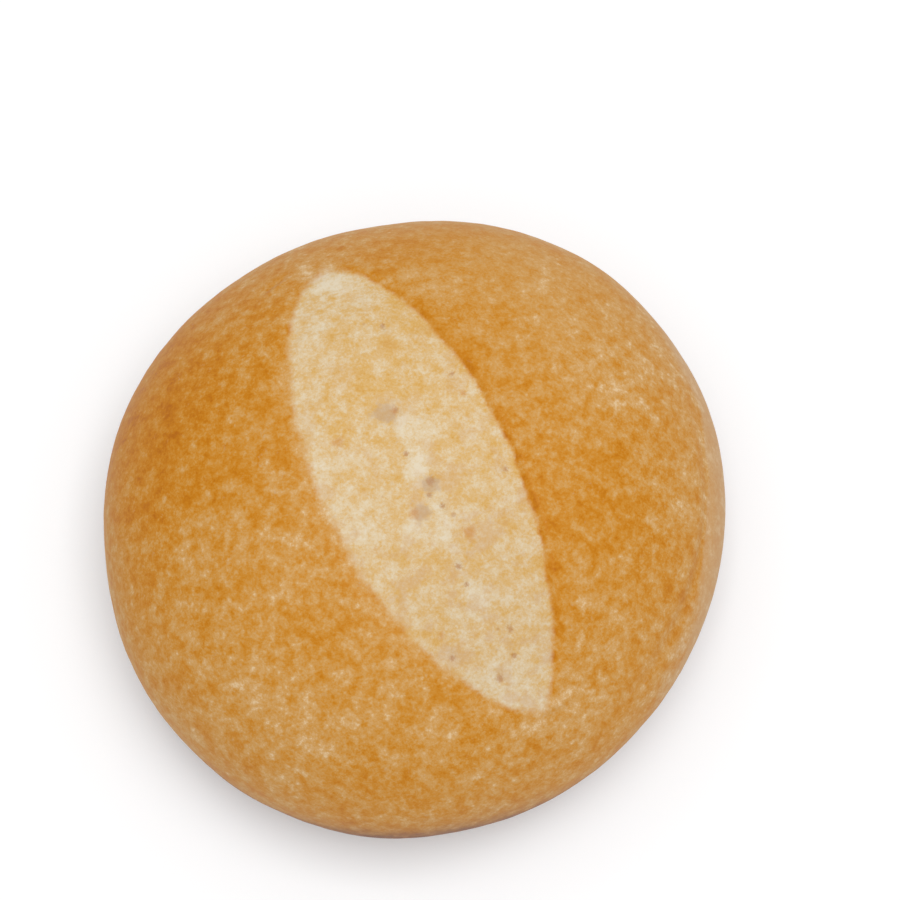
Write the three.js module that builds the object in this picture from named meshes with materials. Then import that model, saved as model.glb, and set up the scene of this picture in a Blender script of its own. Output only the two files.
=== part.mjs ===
// A round wheat roll, baked free-standing, with one long slash across its crown.
// The roll is one closed solid: a full dome, a belly that tucks in under its widest line,
// and a flat sole that it rests on. The slash has opened in the oven into a pale, lens-shaped
// band that lies a little lower than the browned crust on both sides of it.
// Units are millimetres, +Z is up, and the origin is the middle of the sole.

import * as THREE from "three";

// Overall form
const MEAN_RADIUS = 50; // of the widest line, seen from above
const HEIGHT = 55; // from the sole to the crown
const WAIST_HEIGHT = 19; // of the widest line above the sole
const SOLE_RADIUS = 35; // of the flat underside
const DOME_FULLNESS = 2.15; // power of the dome's profile: 2 is an ellipse, more is fuller
const BELLY_FULLNESS = 2.1; // the same for the quarter that tucks in under the widest line

// Slow waves that take the outline away from a true circle
const OUTLINE_WAVES = [
  { lobes: 2, share: 0.0204, peakDegrees: 43 },
  { lobes: 3, share: 0.009, peakDegrees: 33 },
  { lobes: 4, share: 0.0063, peakDegrees: -21 },
];

// The slash, in plan. Its left side is the softer and wider one, its right side has the crisp lip.
const SLASH_MIDDLE = new THREE.Vector2(3.2, 1.2);
const SLASH_HEADING = THREE.MathUtils.degToRad(115.9);
const SLASH_HALF_LENGTH = 38;
const SLASH_LEFT = { width: 16.6, roundness: 0.62, skew: 0, sink: 0.5, rim: 0.15 };
const SLASH_RIGHT = { width: 11.9, roundness: 0.75, skew: 0.12, sink: 1.3, rim: 0.5 };
const LIP_WIDTH = 1.4; // from the slash floor up to the crust
const RIM_WIDTH = 5; // of the slight swelling of the crust beside the lip
const TIP_FADE = 6; // length over which the slash comes up to the crust at each tip

// A shallow crease round part of one side, with the lower dough standing proud below it
const CREASE_HEIGHT = 35;
const CREASE_DEPTH = 0.5;
const CREASE_WIDTH = 2.5;
const CREASE_MIDDLE = THREE.MathUtils.degToRad(-14);
const CREASE_REACH = THREE.MathUtils.degToRad(44);
const PROUD_DROP = 8; // from the crease down to the fullest part of the proud band
const PROUD_WIDTH = 6;

// Gentle unevenness of the risen dough, as a few long crossing waves
const SWELLS = [
  { direction: new THREE.Vector3(0.8, 0.5, 0.3), length: 61, size: 0.16, phase: 0.6 },
  { direction: new THREE.Vector3(-0.4, 0.9, 0.2), length: 43, size: 0.14, phase: 2.1 },
  { direction: new THREE.Vector3(0.3, -0.5, 0.8), length: 31, size: 0.12, phase: 4.0 },
  { direction: new THREE.Vector3(0.9, -0.3, -0.5), length: 23, size: 0.08, phase: 1.2 },
];
const SWELL_FADE_HEIGHT = 8; // the unevenness dies out over this height above the sole

// How finely the surface is divided
const SECTORS = 100; // points on every ring
const SLASH_RINGS = 9; // from the middle of the slash to its edge
const LIP_RINGS = 2; // over the lip
const LIP_SHARE = 0.03; // of the way from the slash edge to the widest line
const CRUST_RINGS = 22; // from the lip to the widest line
const CRUST_CROWDING = 1.25; // more than 1 draws those rings towards the slash
const BELLY_RINGS = 11; // from the widest line to the sole
const SOLE_RINGS = 3; // across the flat sole

const CRUST_COLOUR = "#cb8f47";
const CRUST_ROUGHNESS = 0.6;

const QUARTER_TURN = Math.PI / 2;
const CORE = new THREE.Vector3(0, 0, WAIST_HEIGHT);

function outlineRadius(bearing) {
  let radius = MEAN_RADIUS;
  for (const wave of OUTLINE_WAVES) {
    const peak = THREE.MathUtils.degToRad(wave.peakDegrees);
    radius += MEAN_RADIUS * wave.share * Math.cos(wave.lobes * (bearing - peak));
  }
  return radius;
}

// The dome is described by a bearing and a latitude, which runs from 0 at the crown to a
// quarter turn at the widest line. A map point holds both: its direction is the bearing and
// its length is the latitude.
function domePoint(mapPoint) {
  const bearing = mapPoint.angle();
  const latitude = mapPoint.length();
  const reach = outlineRadius(bearing) * Math.sin(latitude) ** (2 / DOME_FULLNESS);
  const rise = (HEIGHT - WAIST_HEIGHT) * Math.max(Math.cos(latitude), 0) ** (2 / DOME_FULLNESS);
  return new THREE.Vector3(reach * Math.cos(bearing), reach * Math.sin(bearing), WAIST_HEIGHT + rise);
}

function mapPointAbove(planPoint) {
  const bearing = planPoint.angle();
  const share = Math.min(planPoint.length() / outlineRadius(bearing), 1);
  const latitude = Math.asin(share ** (DOME_FULLNESS / 2));
  return planPoint.clone().setLength(latitude);
}

// Half the slash's width on one side, at a place along its length
function slashWidth(side, along) {
  const share = along / SLASH_HALF_LENGTH;
  const lens = Math.max(1 - share * share, 0) ** side.roundness;
  return side.width * lens * (1 + side.skew * share);
}

function slashSide(across) {
  return across < 0 ? SLASH_LEFT : SLASH_RIGHT;
}

function slashEdge(turn) {
  const along = SLASH_HALF_LENGTH * Math.cos(turn);
  const sign = Math.sin(turn) > 0 ? -1 : 1;
  const across = sign * slashWidth(slashSide(sign), along);
  const forward = new THREE.Vector2(Math.cos(SLASH_HEADING), Math.sin(SLASH_HEADING));
  const rightward = new THREE.Vector2(forward.y, -forward.x);
  return SLASH_MIDDLE.clone().addScaledVector(forward, along).addScaledVector(rightward, across);
}

// The slash floor lies below the crust, deepest along the right lip, and comes up at the tips
function slashRelief(point) {
  if (point.z < WAIST_HEIGHT) {
    return 0;
  }
  const offset = new THREE.Vector2(point.x, point.y).sub(SLASH_MIDDLE);
  const forward = new THREE.Vector2(Math.cos(SLASH_HEADING), Math.sin(SLASH_HEADING));
  const along = offset.dot(forward);
  const across = offset.x * forward.y - offset.y * forward.x;
  const tipDistance = SLASH_HALF_LENGTH - Math.abs(along);
  const fade = THREE.MathUtils.smoothstep(tipDistance, 0, TIP_FADE);
  const side = slashSide(across);
  const outside = Math.abs(across) - slashWidth(side, along);
  const rightShare = THREE.MathUtils.smoothstep(across, -SLASH_LEFT.width, SLASH_RIGHT.width);
  const sink = THREE.MathUtils.lerp(SLASH_LEFT.sink, SLASH_RIGHT.sink, rightShare);
  const climb = THREE.MathUtils.smoothstep(outside, 0, LIP_WIDTH);
  const rim = side.rim * climb * Math.exp(-Math.max(outside, 0) / RIM_WIDTH);
  return fade * (rim - sink * (1 - climb));
}

function creaseRelief(point) {
  const bearing = Math.atan2(point.y, point.x);
  const reach = Math.max(1 - Math.abs(bearing - CREASE_MIDDLE) / CREASE_REACH, 0);
  const fade = THREE.MathUtils.smoothstep(reach, 0, 1);
  const above = point.z - CREASE_HEIGHT;
  const groove = Math.exp(-((above / CREASE_WIDTH) ** 2));
  const proud = Math.exp(-(((above + PROUD_DROP) / PROUD_WIDTH) ** 2));
  return CREASE_DEPTH * fade * (proud - groove);
}

function swellRelief(point) {
  const fade = THREE.MathUtils.smoothstep(point.z, 0, SWELL_FADE_HEIGHT);
  let relief = 0;
  for (const swell of SWELLS) {
    const phase = (2 * Math.PI * point.dot(swell.direction)) / swell.length + swell.phase;
    relief += swell.size * Math.sin(phase);
  }
  return fade * relief;
}

// Moves a point of the plain form out from, or in towards, the core of the roll
function withRelief(point) {
  const relief = slashRelief(point) + creaseRelief(point) + swellRelief(point);
  const outward = point.clone().sub(CORE).normalize();
  return point.clone().addScaledVector(outward, relief);
}

function ring(pointAt) {
  return Array.from({ length: SECTORS }, (_, step) => pointAt((2 * Math.PI * step) / SECTORS));
}

function waistMapPoint(turn) {
  const bearing = SLASH_HEADING + turn;
  return new THREE.Vector2(Math.cos(bearing), Math.sin(bearing)).multiplyScalar(QUARTER_TURN);
}

// Rings that are ever wider copies of the slash, from its middle out to its edge
function slashRings() {
  const middle = mapPointAbove(SLASH_MIDDLE);
  const rings = [];
  for (let step = 1; step <= SLASH_RINGS; step += 1) {
    const share = step / SLASH_RINGS;
    rings.push(ring((turn) => domePoint(middle.clone().lerp(mapPointAbove(slashEdge(turn)), share))));
  }
  return rings;
}

// Rings that turn from the shape of the slash into the outline of the whole roll
function crustRings() {
  const shares = [];
  for (let step = 1; step <= LIP_RINGS; step += 1) {
    shares.push((LIP_SHARE * step) / LIP_RINGS);
  }
  for (let step = 1; step <= CRUST_RINGS; step += 1) {
    shares.push(LIP_SHARE + (1 - LIP_SHARE) * (step / CRUST_RINGS) ** CRUST_CROWDING);
  }
  return shares.map((share) =>
    ring((turn) => domePoint(mapPointAbove(slashEdge(turn)).lerp(waistMapPoint(turn), share))));
}

// A point of the outline, scaled towards the axis, at a height
function levelPoint(turn, scale, height) {
  const bearing = SLASH_HEADING + turn;
  const radius = scale * outlineRadius(bearing);
  return new THREE.Vector3(radius * Math.cos(bearing), radius * Math.sin(bearing), height);
}

// Rings that tuck in from the widest line to the edge of the sole
function bellyRings() {
  const rings = [];
  for (let step = 1; step <= BELLY_RINGS; step += 1) {
    const descent = (QUARTER_TURN * step) / BELLY_RINGS;
    const tuck = 1 - Math.max(Math.cos(descent), 0) ** (2 / BELLY_FULLNESS);
    const height = WAIST_HEIGHT * (1 - Math.sin(descent) ** (2 / BELLY_FULLNESS));
    const scale = THREE.MathUtils.lerp(1, SOLE_RADIUS / MEAN_RADIUS, tuck);
    rings.push(ring((turn) => levelPoint(turn, scale, height)));
  }
  return rings;
}

function soleRings() {
  const rings = [];
  for (let step = 1; step < SOLE_RINGS; step += 1) {
    const scale = (SOLE_RADIUS / MEAN_RADIUS) * (1 - step / SOLE_RINGS);
    rings.push(ring((turn) => levelPoint(turn, scale, 0)));
  }
  return rings;
}

// Triangles between neighbouring rings, closed by a fan at the crown and one at the sole
function ringTriangles(ringCount, crownIndex, soleIndex) {
  const triangles = [];
  for (let sector = 0; sector < SECTORS; sector += 1) {
    const next = (sector + 1) % SECTORS;
    triangles.push(crownIndex, sector, next);
    for (let row = 0; row + 1 < ringCount; row += 1) {
      const upper = row * SECTORS;
      const lower = upper + SECTORS;
      triangles.push(upper + sector, lower + sector, lower + next);
      triangles.push(upper + sector, lower + next, upper + next);
    }
    const last = (ringCount - 1) * SECTORS;
    triangles.push(last + next, last + sector, soleIndex);
  }
  return triangles;
}

function rollGeometry() {
  const outside = [...slashRings(), ...crustRings(), ...bellyRings()];
  const rings = [...outside.map((points) => points.map(withRelief)), ...soleRings()];
  const crown = withRelief(domePoint(mapPointAbove(SLASH_MIDDLE)));
  const soleMiddle = new THREE.Vector3(0, 0, 0);
  const points = [...rings.flat(), crown, soleMiddle];
  const geometry = new THREE.BufferGeometry().setFromPoints(points);
  geometry.setIndex(ringTriangles(rings.length, points.length - 2, points.length - 1));
  geometry.computeVertexNormals();
  return geometry;
}

function breadRoll() {
  const crust = new THREE.MeshStandardMaterial({
    color: CRUST_COLOUR,
    roughness: CRUST_ROUGHNESS,
    metalness: 0,
  });
  const roll = new THREE.Mesh(rollGeometry(), crust);
  roll.name = "bread_roll";
  return roll;
}

const group = new THREE.Group();
group.add(breadRoll());

export default group;
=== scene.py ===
# %% [markdown]
# # A crusty bread roll with one slash
#
# This lesson dresses a plain solid of a bread roll until it looks baked. The roll is a single
# piece, so there is nothing to assemble: everything that makes it bread is in its skin. The
# browned crust is mottled and slightly pebbled, and the slash has opened in the oven into a
# pale, dry band with pores and stretch marks. The lesson goes from the frame and the sizes to
# the skin's mesh, then to its finish, and ends with the floor, the light and the camera.

# %% The frame
import math

import bpy
import numpy as np
from mathutils import Matrix, Vector, kdtree, noise


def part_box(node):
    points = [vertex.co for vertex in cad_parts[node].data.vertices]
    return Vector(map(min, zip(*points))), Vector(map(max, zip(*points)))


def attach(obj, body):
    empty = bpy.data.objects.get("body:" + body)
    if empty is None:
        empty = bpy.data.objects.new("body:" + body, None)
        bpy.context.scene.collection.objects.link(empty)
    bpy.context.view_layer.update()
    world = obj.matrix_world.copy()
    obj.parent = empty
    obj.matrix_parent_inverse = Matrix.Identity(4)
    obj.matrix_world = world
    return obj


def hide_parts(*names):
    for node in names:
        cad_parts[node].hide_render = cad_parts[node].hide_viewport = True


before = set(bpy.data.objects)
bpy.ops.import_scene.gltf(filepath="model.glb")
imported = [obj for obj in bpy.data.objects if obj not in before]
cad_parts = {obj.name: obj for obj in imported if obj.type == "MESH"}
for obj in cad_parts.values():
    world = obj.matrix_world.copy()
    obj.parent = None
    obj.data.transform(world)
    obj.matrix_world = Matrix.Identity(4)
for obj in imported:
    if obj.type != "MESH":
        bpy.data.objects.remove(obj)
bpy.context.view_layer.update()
MM = 0.001
low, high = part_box("bread_roll")
print("The roll's box in mm:", [round(side / MM, 1) for side in (high - low)])

# %% [markdown]
# ## The form of the roll
#
# A free-standing roll is a full dome over a belly that tucks in towards a flat sole. The
# outline is nearly a circle, with slow waves from shaping by hand. It could be sculpted, but a
# few named sizes and a formula keep the skin exactly on the solid that it stands for, and the
# same formula can then be sampled as finely as the crust needs. The sizes of the body are the
# solid's own, in millimetres, because bakers' sizes are easier to read that way.

# %% Sizes of the roll
MEAN_RADIUS = 50
HEIGHT = 55
WAIST_HEIGHT = 19
SOLE_RADIUS = 35
DOME_FULLNESS = 2.15
BELLY_FULLNESS = 2.1
OUTLINE_WAVES = (  # lobes, share of the radius, bearing of a peak in degrees
    (2, 0.0204, 43),
    (3, 0.009, 33),
    (4, 0.0063, -21),
)
QUARTER_TURN = math.pi / 2


def smoothstep(value, start, end):
    """Rises from 0 to 1 between start and end, level at both."""
    share = np.clip((value - start) / (end - start), 0, 1)
    return share * share * (3 - 2 * share)


def outline_radius(bearing):
    waves = sum(
        share * np.cos(lobes * (bearing - math.radians(peak)))
        for lobes, share, peak in OUTLINE_WAVES
    )
    return MEAN_RADIUS * (1 + waves)


print("The plan is about", 2 * MEAN_RADIUS, "mm across, and the crown", HEIGHT, "mm high")

# %% [markdown]
# ## A map of the dome
#
# A point on the dome is found from a map, as on a globe seen from above the pole: its
# direction on the map is its bearing, and its distance from the middle is its latitude, which
# ends at a quarter turn on the widest line. Straight blends on this map are smooth curves on
# the dome, which is what lets one set of rings turn from a slash into a round outline.

# %% Between the map, the plan and the dome
def dome_points(chart):
    bearing = np.arctan2(chart[:, 1], chart[:, 0])
    latitude = np.hypot(chart[:, 0], chart[:, 1])
    reach = outline_radius(bearing) * np.sin(latitude) ** (2 / DOME_FULLNESS)
    rise = (HEIGHT - WAIST_HEIGHT) * np.maximum(np.cos(latitude), 0) ** (2 / DOME_FULLNESS)
    return np.column_stack((reach * np.cos(bearing), reach * np.sin(bearing), WAIST_HEIGHT + rise))


def chart_above(plan):
    bearing = np.arctan2(plan[:, 1], plan[:, 0])
    distance = np.hypot(plan[:, 0], plan[:, 1])
    share = np.minimum(distance / outline_radius(bearing), 1)
    latitude = np.arcsin(share ** (DOME_FULLNESS / 2))
    return plan * (latitude / np.maximum(distance, 1e-9))[:, None]


print("Halfway out on the map:", dome_points(np.array([[QUARTER_TURN / 2, 0]])).round(1)[0], "mm")

# %% [markdown]
# ## The slash
#
# The baker cuts the dough once with a blade held at a slant. In the oven the cut opens into a
# lens: one side slides out from under a crisp lip, and the other side stays soft and rounded.
# The two sides get their own width, roundness and depth, and a little waver, because a cut in
# soft dough is never a clean curve. The floor lies a little less deep here than in the solid:
# under soft light a deep step draws a dark line, and on a real roll the lip hardly throws one.

# %% The slash's outline
SLASH_MIDDLE = np.array((3.2, 1.2))
SLASH_HEADING = math.radians(115.9)
SLASH_HALF_LENGTH = 38
SLASH_LEFT = {"width": 16.6, "roundness": 0.62, "skew": 0, "sink": 0.3, "rim": 0, "lip": 3}
SLASH_RIGHT = {
    "width": 11.9, "roundness": 0.75, "skew": 0.12, "sink": 0.55, "rim": 0.25, "lip": 1.2
}
WAVER = ((13.0, 0.18), (5.3, 0.07), (2.1, 0.03))  # length and size of each wave in the cut
WAVE_SHIFT = 1.7  # keeps the waves out of step with each other
SIDE_SHIFT = 2.3  # keeps the two sides of the cut different
FORWARD = np.array((math.cos(SLASH_HEADING), math.sin(SLASH_HEADING)))
RIGHTWARD = np.array((FORWARD[1], -FORWARD[0]))


def waver(along, side_number):
    shift = SIDE_SHIFT * side_number
    return sum(
        size * math.sin(2 * math.pi * along / length + WAVE_SHIFT * order + shift)
        for order, (length, size) in enumerate(WAVER)
    )


def slash_width(along, side, side_number):
    share = along / SLASH_HALF_LENGTH
    lens = max(1 - share * share, 0) ** side["roundness"]
    return lens * (side["width"] * (1 + side["skew"] * share) + waver(along, side_number))


def slash_edge(turns):
    plan = []
    for turn in turns:
        along = SLASH_HALF_LENGTH * math.cos(turn)
        if math.sin(turn) > 0:
            across = -slash_width(along, SLASH_LEFT, 0)
        else:
            across = slash_width(along, SLASH_RIGHT, 1)
        plan.append(SLASH_MIDDLE + along * FORWARD + across * RIGHTWARD)
    return np.array(plan)


print("The slash is", 2 * SLASH_HALF_LENGTH, "mm long and",
      round(SLASH_LEFT["width"] + SLASH_RIGHT["width"], 1), "mm wide")

# %% [markdown]
# ## Rings from the slash to the sole
#
# The skin is one grid of rings. The first rings are widening copies of the slash, the next
# ones turn into the roll's outline, and the last ones tuck in under the belly and cross the
# sole. A grid is easier to control than a subdivided ball: its rows can crowd together where
# the surface has fine detail, and one row of its edges lies exactly along the lip, so the lip
# stays sharp without a very dense mesh.

# %% The rings
SECTORS = 540
SLASH_RINGS = 46
LIP_RINGS = 9
LIP_SHARE = 0.035
CRUST_RINGS = 84
CRUST_CROWDING = 1.2
BELLY_RINGS = 26
SOLE_RINGS = 9

turns = np.linspace(0, 2 * math.pi, SECTORS, endpoint=False)
edge_chart = chart_above(slash_edge(turns))
middle_chart = chart_above(SLASH_MIDDLE[None, :])[0]
bearings = SLASH_HEADING + turns
waist_chart = QUARTER_TURN * np.column_stack((np.cos(bearings), np.sin(bearings)))


def level_ring(scale, ring_height):
    radius = scale * outline_radius(bearings)
    level = np.full(SECTORS, ring_height)
    return np.column_stack((radius * np.cos(bearings), radius * np.sin(bearings), level))


rings = []
for step in range(1, SLASH_RINGS + 1):
    rings.append(dome_points(middle_chart + (edge_chart - middle_chart) * step / SLASH_RINGS))
crust_shares = [LIP_SHARE * step / LIP_RINGS for step in range(1, LIP_RINGS + 1)]
crust_shares += [
    LIP_SHARE + (1 - LIP_SHARE) * (step / CRUST_RINGS) ** CRUST_CROWDING
    for step in range(1, CRUST_RINGS + 1)
]
for share in crust_shares:
    rings.append(dome_points(edge_chart + (waist_chart - edge_chart) * share))
for step in range(1, BELLY_RINGS + 1):
    descent = QUARTER_TURN * step / BELLY_RINGS
    tuck = 1 - max(math.cos(descent), 0) ** (2 / BELLY_FULLNESS)
    ring_height = WAIST_HEIGHT * (1 - math.sin(descent) ** (2 / BELLY_FULLNESS))
    rings.append(level_ring(1 + (SOLE_RADIUS / MEAN_RADIUS - 1) * tuck, ring_height))
for step in range(1, SOLE_RINGS):
    rings.append(level_ring(SOLE_RADIUS / MEAN_RADIUS * (1 - step / SOLE_RINGS), 0))

crown = dome_points(middle_chart[None, :])
plain = np.concatenate(rings + [crown, np.zeros((1, 3))])
print("The skin has", len(rings), "rings and", len(plain), "points")

# %% [markdown]
# ## How far each point is from the cut
#
# Relief and colour both change with the distance from the slash's edge, so it is measured
# once, here, and kept on the mesh as an attribute. It could be guessed from the lens formula,
# but near the sharp tips that goes wrong. A k-d tree of the edge finds the nearest point of
# the cut exactly, and quickly enough for every point of the skin. It is negative inside.

# %% Distance from the slash's edge
EDGE_SAMPLES = 1600
edge_turns = np.linspace(0, 2 * math.pi, EDGE_SAMPLES, endpoint=False)
edge_line = dome_points(chart_above(slash_edge(edge_turns)))
edge_tree = kdtree.KDTree(EDGE_SAMPLES)
for index, point in enumerate(edge_line):
    edge_tree.insert(point, index)
edge_tree.balance()
beyond_edge = np.array([edge_tree.find(point)[2] for point in plain])
slash_points = SLASH_RINGS * SECTORS
beyond_edge[:slash_points] *= -1
beyond_edge[-2] *= -1
offset = plain[:, :2] - SLASH_MIDDLE
along = offset @ FORWARD
across = offset @ RIGHTWARD
lip_side = smoothstep(across, -SLASH_LEFT["width"], SLASH_RIGHT["width"])
print("Farthest inside the slash:", round(-beyond_edge.min(), 1), "mm from its edge")

# %% [markdown]
# ## Relief of the dough
#
# The solid's own relief comes first: the slash floor that lies lower than the crust, the
# crease round one side, where the lower dough stands proud, and the long swells of risen
# dough. Every point moves out from the core of the roll or in towards it.

# %% The main relief
RIM_WIDTH = 5
TIP_FADE = 6
CLIMB_START = -0.2  # the climb out of the slash starts a little inside its edge
CREASE_HEIGHT = 35
CREASE_DEPTH = 0.5
CREASE_WIDTH = 1.6
CREASE_MIDDLE = math.radians(-14)
CREASE_REACH = math.radians(44)
PROUD_DROP = 8
PROUD_WIDTH = 6
SWELLS = (
    ((0.8, 0.5, 0.3), 61, 0.16, 0.6),
    ((-0.4, 0.9, 0.2), 43, 0.14, 2.1),
    ((0.3, -0.5, 0.8), 31, 0.12, 4.0),
    ((0.9, -0.3, -0.5), 23, 0.08, 1.2),
)
SWELL_FADE_HEIGHT = 8


def across_slash(key):
    """One of the slash's sizes, blended from its left side to its right side."""
    return SLASH_LEFT[key] + (SLASH_RIGHT[key] - SLASH_LEFT[key]) * lip_side


def slash_relief():
    fade = smoothstep(SLASH_HALF_LENGTH - np.abs(along), 0, TIP_FADE)
    climb = smoothstep(beyond_edge / across_slash("lip"), CLIMB_START, 1)
    swelling = across_slash("rim") * climb * np.exp(-np.maximum(beyond_edge, 0) / RIM_WIDTH)
    step = swelling - across_slash("sink") * (1 - climb)
    return np.where(plain[:, 2] > WAIST_HEIGHT, fade * step, 0)


def crease_relief():
    bearing = np.arctan2(plain[:, 1], plain[:, 0])
    fade = smoothstep(1 - np.abs(bearing - CREASE_MIDDLE) / CREASE_REACH, 0, 1)
    above = plain[:, 2] - CREASE_HEIGHT
    groove = np.exp(-((above / CREASE_WIDTH) ** 2))
    proud = np.exp(-(((above + PROUD_DROP) / PROUD_WIDTH) ** 2))
    return CREASE_DEPTH * fade * (proud - groove)


def swell_relief():
    waves = sum(
        size * np.sin(2 * math.pi * (plain @ np.array(direction)) / length + phase)
        for direction, length, size, phase in SWELLS
    )
    return smoothstep(plain[:, 2], 0, SWELL_FADE_HEIGHT) * waves


relief = slash_relief() + crease_relief() + swell_relief()
print("Main relief from", round(relief.min(), 2), "to", round(relief.max(), 2), "mm")

# %% [markdown]
# ## Relief of the skin
#
# Close up, crust isn't smooth. Steam lifts it into shallow bumps a few millimetres across, and
# the torn floor of the slash billows and is drawn into fine ridges across the cut. Noise
# gives both: a sum of two or three sizes for the crust, and for the stretch marks a noise that
# is squeezed along the cut, so that its bumps become long ridges. What is finer than half a
# millimetre is left to the finish, because no mesh of sensible size could hold it.

# %% The fine relief
PEBBLES = ((9.0, 0.1), (3.4, 0.045), (1.7, 0.025))  # size across and height of the crust's bumps
BILLOWS = ((8.0, 0.2), (3.6, 0.1), (1.6, 0.05))  # the same for the slash floor
STRETCH_ACROSS = 7.0
STRETCH_ALONG = 1.1
STRETCH_HEIGHT = 0.1
STRETCHED_PART = (4, 26)  # along the cut, the marks fade in between these two places
CRUMB_EDGE = (-0.8, 0.6)  # distances from the cut between which crumb turns into crust
SOLE_FADE = 5

inside = 1 - smoothstep(beyond_edge, *CRUMB_EDGE)
above_sole = smoothstep(plain[:, 2], 0, SOLE_FADE)


def bumps(point, sizes):
    return sum(rise * noise.noise(Vector(point) / width) for width, rise in sizes)


crust_bumps = np.array([bumps(point, PEBBLES) for point in plain])
slash_bumps = np.array([
    bumps(point, BILLOWS) if share > 0 else 0.0 for point, share in zip(plain, inside)
])
stretch = np.array([
    noise.noise(Vector((a / STRETCH_ALONG, b / STRETCH_ACROSS, 0))) if share > 0 else 0.0
    for a, b, share in zip(along, across, inside)
])
relief += above_sole * (1 - inside) * crust_bumps
stretch_height = STRETCH_HEIGHT * smoothstep(along, *STRETCHED_PART)
relief += inside * (slash_bumps + stretch_height * stretch)
print("Relief with the fine part from", round(relief.min(), 2), "to", round(relief.max(), 2), "mm")

# %% [markdown]
# ## Pores, blisters and wrinkles
#
# A few marks are too large for noise and give the roll its own face: open pores in the slash,
# blisters with a thin greyish skin, toasted dots, and wrinkles where the dough folded near the
# cut's tips. Each is a small dent or ridge at a place given along and across the slash. A
# sculptor would press them in by hand, and a short list of places does the same here. How
# strongly blisters and toasted dots mark a point is kept, so that the finish can tint it.

# %% The marks
PORES = (  # along, across, radius, depth, all in mm
    (10.5, -0.9, 0.5, 0.35), (3.6, -2.5, 0.5, 0.3), (-1.6, -1.1, 0.8, 0.35),
    (-3.5, -2.2, 0.5, 0.3), (-5.7, -1.2, 0.5, 0.4), (-14.6, -2.8, 0.6, 0.4),
    (-17.4, -2.9, 0.45, 0.3), (-25.6, 0.2, 0.6, 0.3), (-25.8, -9.3, 0.6, 0.3),
    (-31.2, -4.2, 0.7, 0.3), (-29.2, -0.9, 0.5, 0.3), (23.7, 3.1, 0.5, 0.3),
    (-4.6, 9.8, 0.45, 0.3), (12.0, 9.0, 0.5, 0.25),
)
BLISTERS = ((10.9, -2.6, 1.7, 0.3), (-2.2, -1.3, 1.2, 0.2), (-5.3, -4.3, 1.3, 0.2))
TOASTED = (
    (9.9, -10.7, 1.1, 0.1), (-4.9, -5.4, 1.1, 0.15), (-10.9, 0.6, 1.2, 0.15),
    (8.6, 9.6, 0.7, 0.1), (10.7, -1.1, 0.8, 0.1), (-22.6, -9.5, 0.9, 0.1),
)
on_dome = plain[:, 2] > WAIST_HEIGHT


def pressed(marks):
    """Presses the marks into the relief, and returns how strongly they mark each point."""
    strength = np.zeros(len(plain))
    for mark_along, mark_across, radius, depth in marks:
        distance = np.hypot(along - mark_along, across - mark_across)
        spread = on_dome * np.exp(-((distance / radius) ** 2))
        relief[:] -= depth * spread
        strength = np.maximum(strength, spread)
    return strength


pressed(PORES)
blister = pressed(BLISTERS)
toasted = pressed(TOASTED)
print(len(PORES), "pores,", len(TOASTED), "toasted dots and", len(BLISTERS), "blisters pressed in")

# %% [markdown]
# ## Folds and flour
#
# Where the cut ends the dough folds a little, and flour from the bench is left in short
# smears. Along the middle of the slash runs a pale streak, where the blade went in first. All
# three are strokes: a line between two places with a soft width. They could be painted on an
# unwrapped skin, but a list of lines is shorter and is easily changed.

# %% Strokes
WRINKLES = (  # along and across of both ends, width, height
    ((38.6, -10.8), (40.0, -6.0), 0.7, -0.25), ((38.0, -9.6), (38.9, -6.4), 0.6, 0.2),
    ((33.0, -12.1), (33.6, -9.2), 0.7, -0.1), ((-37.6, -1.0), (-37.8, 4.4), 0.8, 0.15),
    ((-38.9, 0.0), (-38.8, 4.6), 0.8, -0.1), ((-41.2, 0.4), (-40.7, 4.7), 0.7, -0.08),
)
SMEARS = (  # along and across of both ends, width, strength
    ((-38.1, -1.2), (-37.4, 3.2), 1.0, 0.85), ((-37.6, 1.5), (-37.0, 6.5), 1.0, 0.55),
    ((-38.6, 1.0), (-39.0, 10.0), 2.2, 0.45),
    ((-38.2, -6.7), (-39.0, -1.0), 1.3, 0.45), ((-40.2, 1.0), (-41.5, 6.5), 1.8, 0.35),
    ((37.0, -5.0), (39.3, -1.5), 1.6, 0.5), ((37.5, -1.4), (38.2, 2.5), 1.6, 0.5),
    ((33.5, 4.5), (36.5, 5.5), 1.0, 0.5), ((37.5, -8.5), (38.8, -4.5), 1.0, 0.45),
)
FIRST_CUT = (  # along and across of both ends, width, strength
    ((22.1, 0.6), (14.5, -0.9), 1.3, 0.5), ((14.5, -0.9), (9.5, -1.3), 1.0, 0.4),
    ((10.0, -1.6), (5.8, -0.2), 2.1, 0.8), ((6.1, -0.4), (2.0, -1.3), 1.6, 0.7),
    ((3.0, -1.1), (-0.3, -1.7), 1.6, 1.0), ((0.3, -1.7), (-4.3, -2.3), 1.3, 0.6),
    ((-4.0, -2.3), (-7.3, -1.1), 1.5, 1.0), ((-6.8, -1.2), (-9.4, -1.8), 1.2, 0.9),
    ((-9.1, -1.7), (-11.3, -3.7), 1.0, 0.6), ((-5.6, -5.5), (-9.2, -6.8), 1.6, 0.7),
    ((-13.6, -2.6), (-15.6, -3.0), 1.0, 0.8), ((-16.3, -2.6), (-20.4, -2.7), 1.3, 0.6),
    ((36.0, -3.2), (33.2, 1.8), 1.6, 0.8),
)
BLUNTNESS = 0.15  # how blunt the ends of a stroke are


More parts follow.
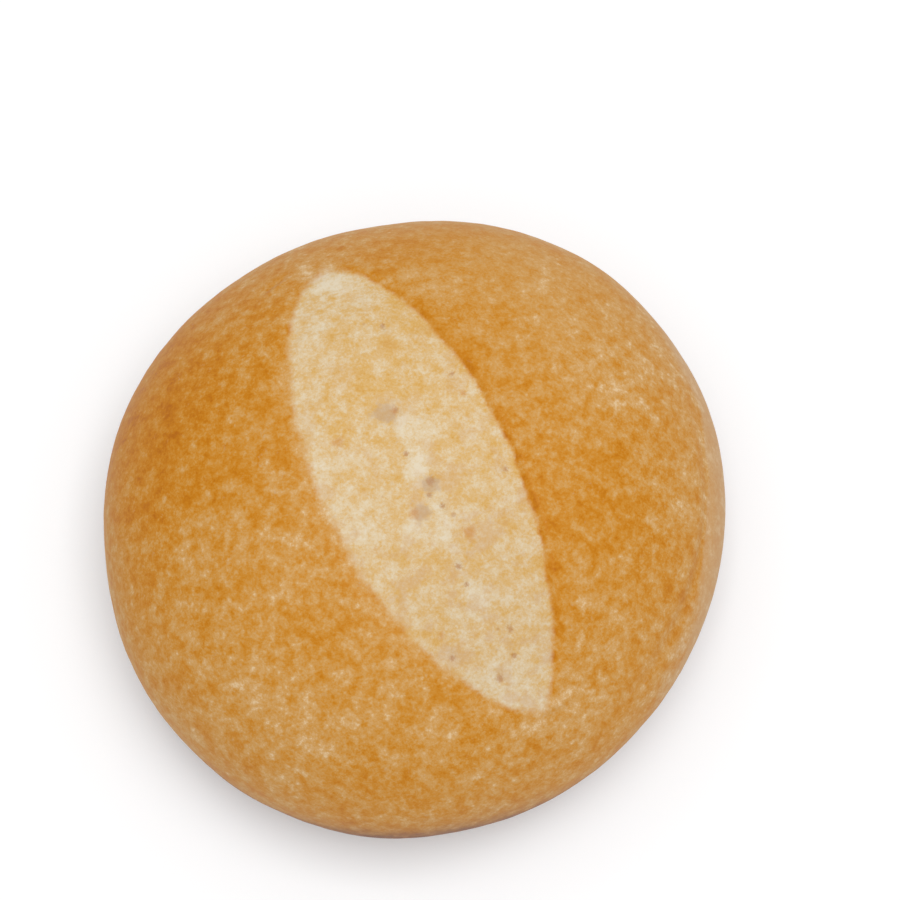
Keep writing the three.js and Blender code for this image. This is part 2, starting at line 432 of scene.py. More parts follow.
def stroke(start, end, width):
    start, end = np.array(start), np.array(end)
    run = end - start
    here = np.column_stack((along, across)) - start
    share = np.clip(here @ run / (run @ run), 0, 1)
    distance = np.hypot(*(here - share[:, None] * run).T)
    taper = np.sin(math.pi * (BLUNTNESS + (1 - 2 * BLUNTNESS) * share))
    return on_dome * taper * np.exp(-((distance / width) ** 2))


for start, end, width, rise in WRINKLES:
    relief += rise * stroke(start, end, width)


def strongest(strokes):
    return np.max([strength * stroke(*ends, width) for *ends, width, strength in strokes], axis=0)


flour = strongest(SMEARS)
first_cut = strongest(FIRST_CUT)
print(len(WRINKLES), "wrinkles,", len(SMEARS), "smears of flour,", len(FIRST_CUT), "pale streaks")

# %% [markdown]
# ## The pale flank
#
# Under the crease the flank was turned away from the heat and stayed pale. From the side it is
# a rough oval: the crease ends it sharply above, and below it fades into the browned belly. An
# oval with some noise in its outline is enough, and noise keeps it from looking stencilled.

# %% A rough oval
PATCH_BEARING = math.radians(3)
PATCH_REACH = math.radians(40)
PATCH_HEIGHT = 21
PATCH_HALF_HEIGHT = 13
PATCH_SQUARENESS = 2.6
SOFT_EDGE = 0.75
SHARP_EDGE = 0.15
RAGGEDNESS = ((9, 0.4), (4, 0.2))  # size and strength of the bays in its outline

beside = (np.arctan2(plain[:, 1], plain[:, 0]) - PATCH_BEARING) / PATCH_REACH
above = (plain[:, 2] - PATCH_HEIGHT) / PATCH_HALF_HEIGHT
bays = np.array([bumps(point, RAGGEDNESS) for point in plain])
patch_distance = np.abs(beside) ** PATCH_SQUARENESS + np.abs(above) ** PATCH_SQUARENESS + bays
patch_sharpness = smoothstep(above, 0.2, 0.8) * smoothstep(np.abs(beside), 0.7, 0.3)
patch_softness = SOFT_EDGE + (SHARP_EDGE - SOFT_EDGE) * patch_sharpness
pale_patch = smoothstep(patch_distance, 1 + patch_softness, 1 - patch_softness)
print("Share of the skin's points in the pale flank:", round((pale_patch > 0.5).mean(), 3))

# %% [markdown]
# ## The mesh
#
# Moving the points and joining neighbouring rings with four-cornered faces makes the skin. A
# fan closes it at the crown and another at the middle of the sole, so it is one shut body
# like the roll itself. The distance from the cut, the side of the cut and the marks go along
# as attributes, because the finish can read those without an unwrapped skin.

# %% Joining the rings
CORE = np.array((0, 0, WAIST_HEIGHT))
outward = plain - CORE
outward /= np.linalg.norm(outward, axis=1)[:, None]
skin = plain + outward * relief[:, None]
skin[:, 2] = np.where(plain[:, 2] <= 1e-6, 0, skin[:, 2])

faces = []
crown_index, sole_index = len(plain) - 2, len(plain) - 1
last_ring = (len(rings) - 1) * SECTORS
for sector in range(SECTORS):
    following = (sector + 1) % SECTORS
    faces.append((crown_index, sector, following))
    for upper in range(0, last_ring, SECTORS):
        lower = upper + SECTORS
        faces.append((upper + sector, lower + sector, lower + following, upper + following))
    faces.append((last_ring + following, last_ring + sector, sole_index))

mesh = bpy.data.meshes.new("roll_skin")
mesh.from_pydata((skin * MM).tolist(), [], faces)
mesh.shade_smooth()
skin_marks = {
    "cut_distance": beyond_edge,
    "lip_side": lip_side,
    "blister": blister,
    "toasted": toasted,
    "flour": flour,
    "first_cut": first_cut,
    "pale_patch": pale_patch,
}
for name, values in skin_marks.items():
    marks = mesh.attributes.new(name, "FLOAT", "POINT").data
    marks.foreach_set("value", values.astype(np.float32))
roll = bpy.data.objects.new("roll_skin", mesh)
bpy.context.scene.collection.objects.link(roll)
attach(roll, "root")
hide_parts("bread_roll")
print("The skin has", sum(len(face) - 2 for face in faces), "triangles")

# %% [markdown]
# ## Writing a finish as sums
#
# A procedural finish is a recipe of masks: where it is pale, where it is dark, where it is
# rough. Wiring dozens of nodes by hand hides that recipe. Two small helpers come first. One
# finds a socket by its name, and the other turns colours as read off a screen into the linear
# values that shaders use.

# %% Helpers for nodes and colours
def named(sockets, key):
    return next(socket for socket in sockets if key in (socket.identifier, socket.name))


def set_stops(ramp, stops):
    """Gives a ramp its colours; the first stop lies at 0 and the last at 1."""
    ramp.elements[0].color = stops[0][1]
    ramp.elements[-1].color = stops[-1][1]
    for position, colour in stops[1:-1]:
        ramp.elements.new(position).color = colour


def paint(red, green, blue):
    shares = [channel / 255 for channel in (red, green, blue)]
    linear = (s / 12.92 if s <= 0.04045 else ((s + 0.055) / 1.055) ** 2.4 for s in shares)
    return (*linear, 1.0)


print("Half grey on a screen is", round(paint(128, 128, 128)[0], 3), "in a shader")

# %% [markdown]
# ## Numbers that change over the surface
#
# This class wraps a node's output and lets Python's own signs add the Math nodes, so a mask
# reads like a sum on paper. Colours never pass through it, because a Math node would turn them
# grey. The one thing that Python has no sign for is a soft step between two values, and that
# is the method at the end.

# %% A wrapped socket
class Value:
    """One number that changes over the surface, with Python's arithmetic."""

    def __init__(self, finish, socket):
        self.finish = finish
        self.socket = socket

    def maths(self, operation, *terms):
        sockets = dict(zip(("Value", "Value_001"), terms))
        return self.finish.node("ShaderNodeMath", {"operation": operation}, sockets)

    def __add__(self, other):
        return self.maths("ADD", self, other)

    def __sub__(self, other):
        return self.maths("SUBTRACT", self, other)

    def __rsub__(self, other):
        return self.maths("SUBTRACT", other, self)

    def __mul__(self, other):
        return self.maths("MULTIPLY", self, other)

    def __truediv__(self, other):
        return self.maths("DIVIDE", self, other)

    def __abs__(self):
        return self.maths("ABSOLUTE", self)

    __radd__ = __add__
    __rmul__ = __mul__

    def rising(self, start, end):
        """0 below start, 1 above end, smooth between them; start may be the larger one."""
        return self.finish.node(
            "ShaderNodeMapRange",
            {"interpolation_type": "SMOOTHSTEP"},
            {"Value": self, "From Min": start, "From Max": end},
        )


print("Signs that it knows: + - * / and abs")

# %% [markdown]
# ## A finish under construction
#
# Every other kind of node comes from one method, which sets the node's settings first and then
# its sockets. Noise, cells and the mixing of colours are used so often that they get short
# names. A node group made by hand would do the same work, but its recipe couldn't be read
# here.

# %% A finish
class Finish:
    """A material under construction."""

    def __init__(self, name):
        self.material = bpy.data.materials.new(name)
        self.material.use_nodes = True
        self.tree = self.material.node_tree
        self.tree.nodes.clear()

    def feed(self, socket, value):
        if isinstance(value, Value):
            self.tree.links.new(value.socket, socket)
        else:
            socket.default_value = value

    def node(self, kind, settings, sockets, result=0):
        """Adds a node: its settings are set first, then its sockets get values or links."""
        made = self.tree.nodes.new(kind)
        for key, setting in settings.items():
            if key == "stops":
                set_stops(made.color_ramp, setting)
            else:
                setattr(made, key, setting)
        for key, value in sockets.items():
            self.feed(named(made.inputs, key), value)
        output = made.outputs[result] if isinstance(result, int) else named(made.outputs, result)
        return Value(self, output)

    def mix(self, under, over, share):
        return self.node(
            "ShaderNodeMix",
            {"data_type": "RGBA"},
            {"Factor_Float": share, "A_Color": under, "B_Color": over},
            "Result_Color",
        )

    def finish_with(self, shader):
        output = self.tree.nodes.new("ShaderNodeOutputMaterial")
        self.tree.links.new(shader.socket, output.inputs["Surface"])

    def noise(self, where, size, detail, roughness):
        """Soft noise from 0 to 1 whose patches are about size millimetres across."""
        return self.node(
            "ShaderNodeTexNoise",
            {},
            {"Vector": where, "Scale": 1 / size, "Detail": detail, "Roughness": roughness},
        )

    def cells(self, where, size):
        """Distance to the nearest of many scattered points that are about size apart."""
        sockets = {"Vector": where, "Scale": 1 / size}
        return self.node("ShaderNodeTexVoronoi", {}, sockets, "Distance")


crust = Finish("baked_crust")
print("The crust's material is", crust.material.name)

# %% [markdown]
# ## Where we are on the crust
#
# All the patterns are in true millimetres, so the object's own coordinates are scaled once.
# That ties them to the roll and not to the view, so they stay put when the roll is turned. The
# attributes come in from the mesh. Two helpers are used all the way down: a soft ball round a
# place, and noise that swings about zero, which adds grain without changing the mean. Noise is
# built on a grid, and where that grid lies flat in the skin it shows as faint level lines, so
# the coordinates of the main patterns are turned first.

# %% Coordinates
DRAPE = (1, 1, 0.72)
TURN = (0.5, 0.8, 0.3)
coordinates = crust.node("ShaderNodeTexCoord", {}, {}, "Object")


def vector_maths(operation, first, second, result=0):
    sockets = {"Vector": first, "Vector_001": second}
    return crust.node("ShaderNodeVectorMath", {"operation": operation}, sockets, result)


def attribute(name):
    return crust.node("ShaderNodeAttribute", {"attribute_name": name}, {}, "Fac")


def near(centre, radius):
    """1 at a place on the roll, fading to 0 at radius millimetres from it."""
    return vector_maths("DISTANCE", place, centre, "Value").rising(radius, 0)


def grain(where, size, octaves, evenness=0.8):
    """Noise around 0 that holds patches of size millimetres and ever finer ones in them."""
    return crust.noise(where, size, octaves, evenness) - 0.5


def turned(where):
    sockets = {"Vector": where, "Rotation": TURN}
    return crust.node("ShaderNodeVectorRotate", {"rotation_type": "EULER_XYZ"}, sockets)


place = vector_maths("MULTIPLY", coordinates, (1 / MM,) * 3)
tilted = turned(place)
draped = turned(vector_maths("MULTIPLY", place, DRAPE))
height = crust.node("ShaderNodeSeparateXYZ", {}, {"Vector": place}, "Z")
cut_distance = attribute("cut_distance")
lip = attribute("lip_side")
print("Nodes so far:", len(crust.tree.nodes))

# %% [markdown]
# ## One scale from brown to floury
#
# Measured over a real roll, nearly all the colours of its crust lie on one line: red hardly
# changes, green changes a little and blue changes most. So the crust needs one number only,
# its paleness, and a ramp of colours for it. The slash has a ramp of its own, because its
# crumb is creamier. The patterns are then sums of numbers, which stay simple to tune, where
# laying many coloured masks over each other soon turns muddy.

# %% The two ramps
CRUST_TONES = (
    (0.0, paint(172, 98, 4)),
    (0.3, paint(187, 117, 14)),
    (0.5, paint(192, 131, 46)),
    (0.7, paint(195, 146, 80)),
    (0.85, paint(200, 158, 103)),
    (1.0, paint(212, 182, 140)),
)
SLASH_TONES = (
    (0.0, paint(198, 148, 72)),
    (0.3, paint(204, 163, 96)),
    (0.5, paint(206, 173, 122)),
    (0.7, paint(209, 186, 148)),
    (1.0, paint(214, 200, 174)),
)


def toned(paleness, tones):
    return crust.node("ShaderNodeValToRGB", {"stops": tones}, {"Fac": paleness}, "Color")


print("Crust ramp with", len(CRUST_TONES), "stops, slash ramp with", len(SLASH_TONES))

# %% [markdown]
# ## Browned zones
#
# Sugar and starch brown unevenly. The high shoulders of a roll meet the most heat and turn deep
# amber, and other places stay paler. Such large, slow changes could be painted on by hand, but
# a few soft balls round places on the roll are easier to move and to weigh, and they need no
# unwrapped skin. Each ball makes the crust paler or browner, most at its middle.

# %% Zones of the crust
BAKED_ZONES = (  # place, radius, how much paler or browner
    ((-36, 14, 38), 38, -0.22), ((-42, 22, 28), 28, -0.08), ((-10, 36, 42), 20, -0.06),
    ((30, -4, 47), 24, -0.09), ((12, 14, 53), 10, -0.08), ((5, -34, 42), 12, -0.04),
    ((17, -3, 53), 8, -0.16), ((-41, -5, 38), 16, -0.06), ((-8, -47, 32), 18, -0.05),
    ((22, 26, 46), 14, 0.08), ((-24, -7, 51), 10, -0.05), ((-18, 4, 53), 6, -0.04),
    ((-8, -18, 53), 7, -0.06), ((-13, -36, 44), 13, 0.15), ((20, -33, 43), 9, 0.08),
    ((28, 16, 48), 12, 0.12), ((39, 24, 36), 14, 0.13), ((-2, 33, 47), 6, 0.1),
    ((6, -31, 48), 6, -0.1), ((-19, 28, 46), 5, 0.08), ((-32, -35, 32), 14, 0.06),
    ((4, -46, 34), 16, -0.04), ((0, 30, 49), 4, 0.14), ((5, 30, 48), 6, 0.1),
)


def zoned(zones):
    return sum((near(centre, radius) * amount for centre, radius, amount in zones), 0)


print(len(BAKED_ZONES), "zones on the crust")

# %% [markdown]
# ## Scattered flecks
#
# Tiny blisters and dry bits of starch leave separate pale flecks. Noise alone makes clouds, so
# these come from cell noise: every cell has one point, and a soft dot is drawn round it. The
# cell's own random colour decides how large the dot is, and in most cells it is left out, or
# the dots would lie as evenly as in a print.

# %% Dots
def dots(where, spacing, kept, radius):
    """Soft round dots, at most one a cell; only a share of the cells keeps one."""
    distance = crust.cells(where, spacing)
    colour = Value(crust, distance.socket.node.outputs["Color"])
    draw = crust.node("ShaderNodeSeparateColor", {}, {"Color": colour})
    size = draw.rising(1 - kept, 1) * radius / spacing
    return (size - distance).rising(0, 0.5 * radius / spacing)


flecks = dots(place, 1.9, 0.4, 0.55) * 0.8 + dots(place, 4.1, 0.4, 1.0)
spots = dots(place, 5.3, 0.35, 1.6)
print("Nodes so far:", len(crust.tree.nodes))

# %% [markdown]
# ## How pale the crust is
#
# Over the zones lies a mottling that is about equally strong in patches of two millimetres and
# in grains of a third of one, which is what makes crust look like crust and not like plastic.
# It is drawn out a little in height, because the dough was pulled down and under when it was
# shaped. The far shoulder is calmer. Flecks are added, and a few darker spots are taken away.

# %% The crust's paleness
CRUST_PALENESS = 0.62  # the mean; each of the next numbers says how strong one pattern is
CRUST_DRIFTS = 0.35
CRUST_MOTTLING = 1.65
CRUST_PEBBLES = 0.2
CRUST_CRUMBS = 0.5
CRUST_RIDGES = 0.05
CRUST_FLECKS = 0.2
CRUST_SPOTS = 0.12
CALM_TOP = (14, 36, 40)
CALM_REACH = 36
CALMING = 0.4

pebbles = 0.42 - crust.cells(draped, 1.15)
mottling = grain(draped, 2.4, 4, 0.78) * CRUST_MOTTLING + pebbles * CRUST_PEBBLES
mottling = mottling * (1 - near(CALM_TOP, CALM_REACH) * CALMING)
crumbs = grain(place, 0.45, 2, 0.7)
ridges = abs(grain(draped, 3.2, 3, 0.6)).rising(0.035, 0)
crust_drifts = grain(place, 15, 2, 0.5)
crust_paleness = CRUST_PALENESS + zoned(BAKED_ZONES) + crust_drifts * CRUST_DRIFTS
crust_paleness = crust_paleness + mottling + crumbs * CRUST_CRUMBS + ridges * CRUST_RIDGES
crust_paleness = crust_paleness + flecks * CRUST_FLECKS - spots * CRUST_SPOTS
print("Nodes so far:", len(crust.tree.nodes))

# %% [markdown]
# ## Lines where the skin was drawn
#
# Near its far end the slash was pulled open while its skin was drying, which drew faint lines
# across it. Noise becomes lines when its coordinates are squeezed one way, so the place is
# written anew as a distance along the cut and one across it. The small squared term bends the
# lines, as a skin that is held at both edges sags in its middle.

# %% Drawn lines
STREAKED = (-13, 30, 48)
STREAKED_REACH = 17
STREAK_STRENGTH = 0.8
SAG = 0.02
SQUEEZE = 0.16

along_cut = vector_maths("DOT_PRODUCT", place, (FORWARD[0], FORWARD[1], 0), "Value")
across_cut = vector_maths("DOT_PRODUCT", place, (RIGHTWARD[0], RIGHTWARD[1], 0), "Value")
sagging = along_cut + across_cut * across_cut * SAG
drawn = crust.node("ShaderNodeCombineXYZ", {}, {"X": sagging, "Y": across_cut * SQUEEZE})
streaks = grain(drawn, 1.3, 3, 0.7) * near(STREAKED, STREAKED_REACH) * STREAK_STRENGTH
print("The lines are", round(1 / SQUEEZE), "times as long as they are wide")

# %% [markdown]
# ## How pale the slash is
#
# The slash opened late, so it had less time to brown. Golden drifts lie in its upper half, a
# floury streak along the middle, where the first cut was, and its lower half is tanned in
# patches and has pinholes. It gets zones, drifts and mottling in the same way as the crust.

# %% The slash's paleness
SLASH_ZONES = (  # place, radius, how much paler or more golden
    ((-12, 32, 47), 11, 0.1), ((-5, 17, 53), 14, -0.16), ((8, -1, 54), 7, -0.06),
    ((2, 2, 55), 7, 0.05), ((-1, 6, 55), 5, -0.04), ((-0.8, 8, 54.5), 5, 0.05),
    ((6.5, -12.5, 54), 7, 0.04), ((-8, -6, 54), 8, 0.04), ((-3, 15, 54), 4, 0.04),
    ((4, 12, 54), 6, -0.14), ((2, -14, 54), 6, -0.12), ((-9, 8, 54), 6, -0.04),
    ((7.5, -3, 55), 4, -0.12), ((2, -21, 52), 7, -0.06), ((15, -13, 52), 7, 0.04),
    ((16, -29, 46), 9, 0.2), ((3, -11, 54), 4, -0.08), ((8, -8, 54), 3, -0.12),
)
SLASH_PALENESS = 0.56
SLASH_DRIFTS = 0.65
SLASH_MOTTLING = 1.3
SLASH_DOTS = 0.14
SLASH_CRUMBS = 0.9
FIRST_CUT_PALER = 0.32
GOLDEN_HALF = (-9, 22, 51)
GOLDEN_REACH = 40

drifts = grain(place, 5.5, 2, 0.5)
slash_mottling = grain(tilted, 1.9, 3, 0.7)
slash_paleness = SLASH_PALENESS + zoned(SLASH_ZONES) + drifts * SLASH_DRIFTS
slash_paleness = slash_paleness + slash_mottling * SLASH_MOTTLING + streaks
slash_paleness = slash_paleness + dots(place, 2.1, 0.4, 0.7) * SLASH_DOTS + crumbs * SLASH_CRUMBS
in_first_cut = attribute("first_cut") * (1 + grain(place, 1.3, 3, 0.75) * 1.6)
slash_paleness = slash_paleness + in_first_cut * FIRST_CUT_PALER
tanned = grain(place, 4.4, 4, 0.65).rising(0, 0.12)
tanned = tanned * (1 - near(GOLDEN_HALF, GOLDEN_REACH) * 0.8)
# pinholes: dark dots, partly darker crumb and partly painted shade in holes the mesh doesn't have
pinholes = dots(place, 3.3, 0.45, 0.6)
print(len(SLASH_ZONES), "zones in the slash")

# %% [markdown]
# ## Where the crust stops
#
# On the soft side the crust thins out over a millimetre or two with a granular edge. Under the
# lip it stops sharply. At both tips of the cut the two run into each other. A mask could be
# drawn by hand, but the distance from the cut is on the mesh already, so the mask is that
# distance with some grain added, made steep on one side and gentle on the other.

# %% The edge of the slash
UPPER_TIP = (-14, 36.5, 43)
LOWER_TIP = (19, -33, 43)
EDGE_RAGGEDNESS = 1.4  # in mm, as are the rest of these
LIP_CLEANER = 0.4
TIPS_RAGGEDER = 2.2
EDGE_SOFTNESS = 0.9
LIP_SHARPER = 0.5
TIPS_SOFTER = 1.5
TIPS_SHORTER = 1.1

edge_grain = grain(place, 1.6, 3, 0.7)
fuzzy_tips = near(UPPER_TIP, 9) + near(LOWER_TIP, 5) * 0.5
raggedness = EDGE_RAGGEDNESS - lip * LIP_CLEANER + fuzzy_tips * TIPS_RAGGEDER
wavering = cut_distance + edge_grain * raggedness + fuzzy_tips * TIPS_SHORTER
softness = EDGE_SOFTNESS - lip * LIP_SHARPER + fuzzy_tips * TIPS_SOFTER
in_slash = (wavering / softness).rising(1, -1)
print("Nodes so far:", len(crust.tree.nodes))

# %% [markdown]
# ## Browning and painted shade along the edge
#
# The lip stood up into the heat, so its rim is browned most; that darker rim is also painted
# shade, where the lip turns away from the light, most towards its far end. The crumb just under
# the lip gets painted shadow from it. On the soft side both are paler near the edge. These are
# shifts of the same two numbers, so they need no colours of their own.

# %% Browning and painted shade along the edge
FAR_LIP = (-2, 24, 52)
FAR_LIP_REACH = 30
LIP_BROWNING_AND_SHADE = 0.07
FAR_LIP_BROWNING_AND_SHADE = 0.04
SOFT_SIDE_PALER = 0.06
UNDER_LIP_SHADE = 0.1
SOFT_CRUMB_PALER = 0.08

lip_rim = (wavering.rising(5, 0.3) + wavering.rising(2, 0.3)) * lip.rising(0.3, 0.8)
lip_browning_and_shade = LIP_BROWNING_AND_SHADE + near(FAR_LIP, FAR_LIP_REACH) * FAR_LIP_BROWNING_AND_SHADE
soft_side = lip.rising(0.5, 0)
under_lip_shadow = cut_distance.rising(-1.6, -0.1) * lip.rising(0.4, 0.9)
# the lip's rim: browning, and painted shade where the lip turns from the light
crust_paleness = crust_paleness - lip_rim * lip_browning_and_shade
crust_paleness = crust_paleness + wavering.rising(3, 0) * soft_side * SOFT_SIDE_PALER
# painted shadow of the lip on the crumb just under it
slash_paleness = slash_paleness - under_lip_shadow * UNDER_LIP_SHADE
slash_paleness = slash_paleness + cut_distance.rising(-5, -1.2) * soft_side * SOFT_CRUMB_PALER
print("Nodes so far:", len(crust.tree.nodes))

# %% [markdown]
# ## Flour and the pale flank
#
# Flour lightens both the crust and the slash where it was smeared. The flank under the crease
# was turned away from the heat and stayed pale, with a hint of pink. The lower half of the slash
# gets painted shade, a greyish brown laid thinly over it. Then the two numbers become colours,
# and the edge mask decides which of them shows.

# %% From paleness to colour
PALE_FLANK = paint(190, 150, 108)
TAN = paint(196, 158, 118)
HOLE_BROWN_AND_SHADE = paint(166, 114, 74)
SHADED_CRUMB = paint(150, 126, 100)
FLANK_COVER = 0.5  # a cover is how much of what is under it a colour hides
TAN_COVER = 0.4
PINHOLE_COVER = 0.4
CRUMB_SHADE_COVER = 0.1
SHADED_SLASH_HALF = (13, -20, 51)
SHADED_SLASH_REACH = 32
FLOUR_ON_CRUST = 0.36
FLOUR_IN_SLASH = 0.2
PALER_TIP = 0.08
PALER_FLANK = 0.14

floured = attribute("flour") * (1 + grain(place, 1.2, 3, 0.75) * 0.5)
crust_paleness = crust_paleness + floured * FLOUR_ON_CRUST + near(UPPER_TIP, 10) * PALER_TIP
slash_paleness = slash_paleness + floured * FLOUR_IN_SLASH
flank = (attribute("pale_patch") + mottling * 0.4).rising(0.1, 0.95)
crust_colour = toned(crust_paleness + flank * PALER_FLANK, CRUST_TONES)
crust_colour = crust.mix(crust_colour, PALE_FLANK, flank * FLANK_COVER)
slash_colour = crust.mix(toned(slash_paleness, SLASH_TONES), TAN, tanned * TAN_COVER)
slash_colour = crust.mix(slash_colour, HOLE_BROWN_AND_SHADE, pinholes * PINHOLE_COVER)
# painted shade: a greyish brown darkens the lower half of the slash
slash_shade = near(SHADED_SLASH_HALF, SHADED_SLASH_REACH) * CRUMB_SHADE_COVER
slash_colour = crust.mix(slash_colour, SHADED_CRUMB, slash_shade)
skin_colour = crust.mix(crust_colour, slash_colour, in_slash)
print("Nodes so far:", len(crust.tree.nodes))

# %% [markdown]
# ## Colours of the marks
#
# A blister's skin is greyish and dry, and toasted dots are what they are called. Both are
# larger than the mesh's squares, so their masks come from the mesh, with grain to keep them
# from looking like stickers.

# %% Blisters and toasted dots
BLISTER_GREY = paint(182, 152, 120)
TOAST_BROWN = paint(188, 124, 52)
BLISTER_COVER = 0.6
TOAST_COVER = 0.5

blistered = (attribute("blister") + edge_grain * 1.2 + crumbs * 0.8).rising(0.15, 0.6)
skin_colour = crust.mix(skin_colour, BLISTER_GREY, blistered * BLISTER_COVER)
browned_dots = (attribute("toasted") + edge_grain * 1.6).rising(0.3, 1)
skin_colour = crust.mix(skin_colour, TOAST_BROWN, browned_dots * TOAST_COVER)
print(len(BLISTERS), "blisters and", len(TOASTED), "toasted dots coloured")

# %% [markdown]
# ## Pores
#
# Pores are the mouths of gas bubbles. Their brown is partly the darker crumb inside and partly
# painted shade in the hole. They are hardly wider than one of the mesh's squares, which would
# draw them as little diamonds. So the shader measures its own distance from each pore. Heights
# hardly count in that distance, because relief has moved the skin up or down by then.

# %% Pores
FROM_ABOVE = (1, 1, 0.2)
PORE_RIM = 1.2  # a pore starts to darken here and is fully dark at the next, in its own radii
PORE_MOUTH = 0.2
PORE_COVER = 0.6

seen_from_above = vector_maths("MULTIPLY", place, FROM_ABOVE)
ragged_rim = edge_grain * 0.7 + crumbs * 0.8
pore_crumb_and_shade = 0
for pore_along, pore_across, radius, _ in PORES:
    plan = SLASH_MIDDLE + pore_along * FORWARD + pore_across * RIGHTWARD
    centre = dome_points(chart_above(plan[None, :]))[0] * FROM_ABOVE
    distance = vector_maths("DISTANCE", seen_from_above, centre, "Value") + ragged_rim
    pore_crumb_and_shade = pore_crumb_and_shade + distance.rising(radius * PORE_RIM, radius * PORE_MOUTH)
# painted shade in the pores, with the darker crumb inside
skin_colour = crust.mix(skin_colour, HOLE_BROWN_AND_SHADE, pore_crumb_and_shade * PORE_COVER)
print(len(PORES), "pores coloured")

# %% [markdown]
# ## The sole
#
# The sole baked on a hot surface, so it is browner and duller than the dome, and so is the
# last of the belly above it. Heat creeps up unevenly. At the near side and two places beside it
# the brown climbs higher and is darker, and there it is also painted contact shadow where the
# belly meets the floor. Two browns with a ragged, gradual edge look baked, where a single one
# looks like dipped paint. The height above the sole is all that they need. Flour from the bench
# dusts the sole itself.

# %% Sole colours
SOLE_BROWNS_AND_SHADE = (
    (0.0, paint(92, 44, 16)),
    (0.5, paint(120, 66, 30)),
    (1.0, paint(168, 112, 66)),
)
BELLY_BROWN_AND_SHADE = paint(150, 92, 38)
SOLE_FLOUR = paint(196, 160, 116)
BELLY_COVER = 0.45
SOLE_COVER = 0.86
DUST_COVER = 0.4
BELLY_EDGE = (23, 10)  # heights between which the belly's brown fades in
SOLE_EDGE = (17, 8)  # the same for the sole's darker brown
CREEP = 7  # how far up and down that edge wanders, and how far the mottling shifts it
MOTTLED_CREEP = 4
BROWNED_AND_SHADED_SIDES = (  # place, how far, and how much higher the brown climbs there, as browning and painted contact shadow
    ((2, -48, 20), 46, 12), ((38, -30, 16), 26, 5), ((-30, -38, 16), 22, 4),
)

squat_place = vector_maths("MULTIPLY", place, (1, 1, 2))
brown_and_shade_height = height + grain(squat_place, 7, 4, 0.65) * CREEP + mottling * MOTTLED_CREEP
# painted contact shadow, on top of browning: the brown climbs higher at these places
for centre, radius, rise in BROWNED_AND_SHADED_SIDES:
    brown_and_shade_height = brown_and_shade_height - near(centre, radius) * rise
sole_and_shade_colour = toned(0.45 + mottling * 1.2 + grain(place, 9, 3, 0.6) * 0.8, SOLE_BROWNS_AND_SHADE)
belly_brown_and_shade = brown_and_shade_height.rising(*BELLY_EDGE) * BELLY_COVER
sole_brown_and_shade = brown_and_shade_height.rising(*SOLE_EDGE) * SOLE_COVER
skin_colour = crust.mix(skin_colour, BELLY_BROWN_AND_SHADE, belly_brown_and_shade)
skin_colour = crust.mix(skin_colour, sole_and_shade_colour, sole_brown_and_shade)
sole_dust = grain(place, 9, 5, 0.7).rising(0, 0.12) * height.rising(4, 0.5)
skin_colour = crust.mix(skin_colour, SOLE_FLOUR, sole_dust * DUST_COVER)
print("Nodes so far:", len(crust.tree.nodes))

# %% [markdown]
# ## The shine and the grain
#
# A baked crust has a dull satin shine, and the torn floor of the slash has none. The grain
# that is too fine for the mesh goes into a bump, in true millimetres: it could be real relief
# only on a mesh with millions of faces, and at this size the two look the same.

# %% The skin's shader
SATIN = 0.52
DULLER_SLASH = 0.25
DULLER_PALE_SPOTS = 0.15
SHEEN = 0.12
GRAIN_HEIGHT = 0.05  # heights in mm
FINEST_GRAIN_HEIGHT = 0.02
CRUMB_HEIGHT = 0.12

crust_grain = crust.noise(place, 1.1, 2, 0.5) * GRAIN_HEIGHT
crust_grain = crust_grain + crust.noise(place, 0.5, 2, 0.6) * FINEST_GRAIN_HEIGHT
slash_grain = crust.noise(place, 0.8, 4, 0.65) * CRUMB_HEIGHT
fine_height = crust_grain * (1 - in_slash) + slash_grain * in_slash
bump = crust.node("ShaderNodeBump", {}, {"Strength": 1, "Distance": MM, "Height": fine_height})
shader = crust.node(
    "ShaderNodeBsdfPrincipled",
    {},
    {
        "Base Color": skin_colour,
        "Roughness": SATIN + in_slash * DULLER_SLASH + mottling * DULLER_PALE_SPOTS,
        "Specular IOR Level": SHEEN,
        "Normal": bump,
    },
)
crust.finish_with(shader)
mesh.materials.append(crust.material)
print("The crust's finish has", len(crust.tree.nodes), "nodes")

# %% [markdown]
# ## The floor
#
# The roll is seen on a white sweep, as in a catalogue. One large square with a matt, nearly
# white finish is enough, because the sweep's curve would be out of the picture. It lies a hair
# below the sole, so that the two don't fight over the same place.

# %% The floor
FLOOR_REACH = 2.5
FLOOR_WHITE = (0.93, 0.94, 0.95, 1)
FLOOR_DROP = 0.1 * MM

scene = bpy.context.scene
floor_mesh = bpy.data.meshes.new("pale_floor")
corners = [(x * FLOOR_REACH, y * FLOOR_REACH, 0) for x, y in ((-1, -1), (1, -1), (1, 1), (-1, 1))]
floor_mesh.from_pydata(corners, [], [(0, 1, 2, 3)])
floor = bpy.data.objects.new("pale_floor", floor_mesh)
floor.location.z = -FLOOR_DROP
scene.collection.objects.link(floor)
paper = Finish("white_sweep")
paper.finish_with(paper.node(
    "ShaderNodeBsdfPrincipled",
    {},
    {
        "Base Color": FLOOR_WHITE,
        "Roughness": 0.9,
        "Specular IOR Level": 0.1,
    },
))
floor_mesh.materials.append(paper.material)
print("The floor is", 2 * FLOOR_REACH, "m wide")

# %% [markdown]
# ## The light
#
# Half of the light comes evenly from all round and half from a softbox overhead, a little to
# the right. An overhead light models the dome gently, and it reaches the floor almost up to
# the roll, so that only a narrow contact shadow stays grey. A low lamp would throw a long
# shadow instead. The plain view transform keeps the crust's colours as they were mixed.

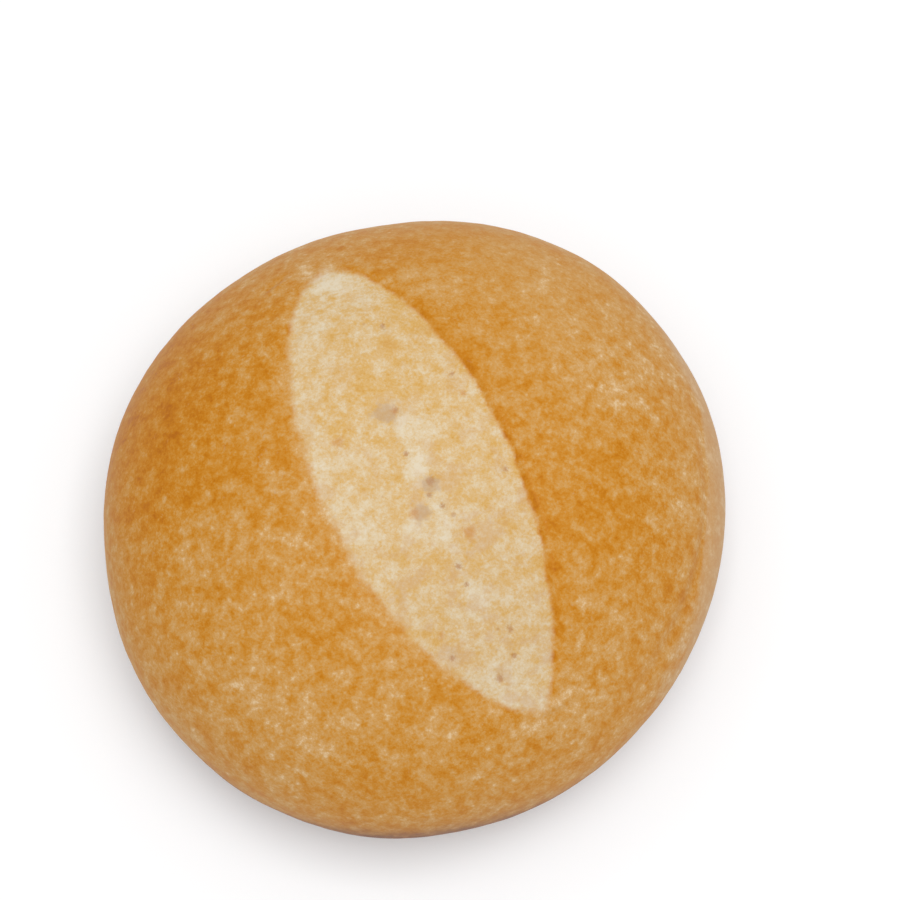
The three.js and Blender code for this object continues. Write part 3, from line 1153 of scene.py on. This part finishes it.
# %% A room and a softbox
ROOM_LIGHT = 0.65
SOFTBOX_POWER = 5.6
SOFTBOX_SIZE = 0.55
SOFTBOX_PLACE = (0.09, -0.01, 1)

scene.view_settings.view_transform = "Standard"
room = bpy.data.worlds.new("studio")
scene.world = room
room.use_nodes = True
surroundings = room.node_tree.nodes["Background"]
surroundings.inputs["Color"].default_value = (1, 1, 1, 1)
surroundings.inputs["Strength"].default_value = ROOM_LIGHT

softbox_light = bpy.data.lights.new("softbox", "AREA")
softbox_light.shape = "SQUARE"
softbox_light.size = SOFTBOX_SIZE
softbox_light.energy = SOFTBOX_POWER
softbox = bpy.data.objects.new("softbox", softbox_light)
scene.collection.objects.link(softbox)
softbox.location = SOFTBOX_PLACE
softbox.rotation_euler = (-softbox.location).to_track_quat("-Z", "Y").to_euler()
print("The softbox hangs", round(softbox.location.length, 2), "m from the roll")

# %% [markdown]
# ## The camera
#
# The roll is seen from almost straight above its crown, a little from the near side. A
# portrait lens at a third of a metre gives the slight swelling of a close view. The camera
# could be tied to a target, but three directions at right angles say the same without one:
# backward to the camera, rightward and upward in the picture.

# %% Camera
CAMERA_ELEVATION = math.radians(77)
CAMERA_DISTANCE = 338.7 * MM
CAMERA_LENS = 85
SENSOR_WIDTH = 36
AIM_RIGHT = 5.77 * MM
AIM_UP = 10.46 * MM
AIM_HEIGHT = 24.75 * MM
camera_lens = bpy.data.cameras.new("camera")
camera_lens.lens = CAMERA_LENS
camera_lens.sensor_width = SENSOR_WIDTH
camera = bpy.data.objects.new("camera", camera_lens)
scene.collection.objects.link(camera)
backward = Vector((0, -math.cos(CAMERA_ELEVATION), math.sin(CAMERA_ELEVATION)))
rightward = Vector((1, 0, 0))
upward = backward.cross(rightward)
aim = Vector((0, 0, AIM_HEIGHT)) + AIM_RIGHT * rightward + AIM_UP * upward
camera.location = aim + backward * CAMERA_DISTANCE
camera.rotation_euler = Matrix((rightward, upward, backward)).transposed().to_euler()
scene.camera = camera
print("The camera is", round(camera.location.z / MM), "mm above the floor")
